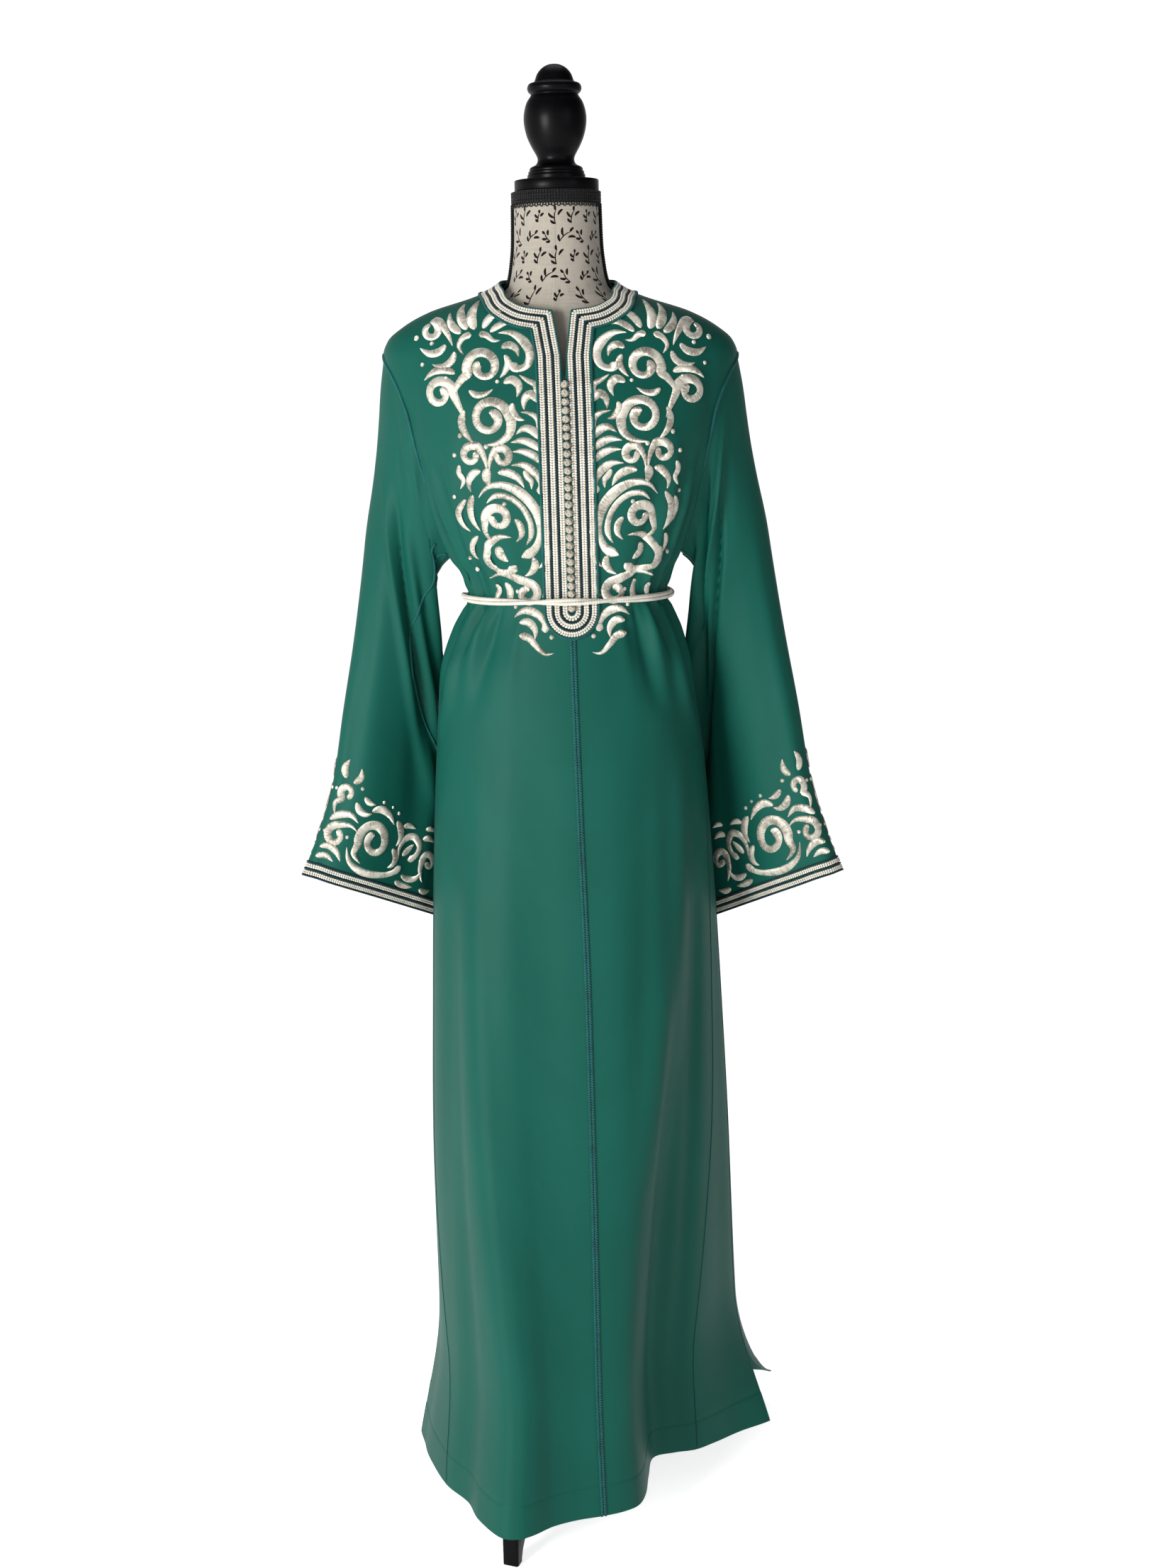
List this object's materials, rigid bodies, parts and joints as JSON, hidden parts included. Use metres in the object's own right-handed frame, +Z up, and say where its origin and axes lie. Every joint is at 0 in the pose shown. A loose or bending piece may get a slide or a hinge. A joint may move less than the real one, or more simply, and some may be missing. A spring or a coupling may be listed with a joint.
{
  "type": "kaftan on a dress form",
  "caption": "Ankle-length long-sleeved kaftan with a braided button placket and cord belt, worn on a limbless dress form with a turned finial and splayed-leg stand.",
  "frame": {"origin": "on the floor, under the middle of the model's box", "axes": "+Z up, the front of the garment looks along -Y, +X on the right of a viewer in front"},
  "size_m": [0.6561, 0.4859, 1.7275],
  "materials": {
    "cloth": "soft satin crepe",
    "braid": "silky braided cord",
    "seam_cord": "silky braided cord",
    "linen": "plain linen",
    "gimp": "gimp trim",
    "wood": "black satin lacquer"
  },
  "bodies": {
    "root": {"back": "cloth", "belt": "braid", "button_01": "braid", "button_02": "braid", "button_03": "braid", "button_04": "braid", "button_05": "braid", "button_06": "braid", "button_07": "braid", "button_08": "braid", "button_09": "braid", "button_10": "braid", "button_11": "braid", "button_12": "braid", "button_13": "braid", "button_14": "braid", "button_15": "braid", "button_16": "braid", "button_17": "braid", "button_18": "braid", "button_19": "braid", "button_20": "braid", "button_21": "braid", "button_22": "braid", "button_23": "braid", "button_24": "braid", "button_25": "braid", "button_26": "braid", "cord_centre_front": "seam_cord", "cuff_braid_left_1": "braid", "cuff_braid_left_2": "braid", "cuff_braid_right_1": "braid", "cuff_braid_right_2": "braid", "finial": "wood", "form_body": "linen", "front_left": "cloth", "front_right": "cloth", "gore_back_left": "cloth", "gore_back_right": "cloth", "gore_front_left": "cloth", "gore_front_right": "cloth", "hub": "wood", "leg_front": "wood", "leg_left": "wood", "leg_right": "wood", "neck_band": "gimp", "neck_braid_1": "braid", "neck_braid_2": "braid", "neck_braid_3": "braid", "neck_cap": "wood", "pole": "wood", "sleeve_left": "cloth", "sleeve_right": "cloth"}
  },
  "joints": []
}
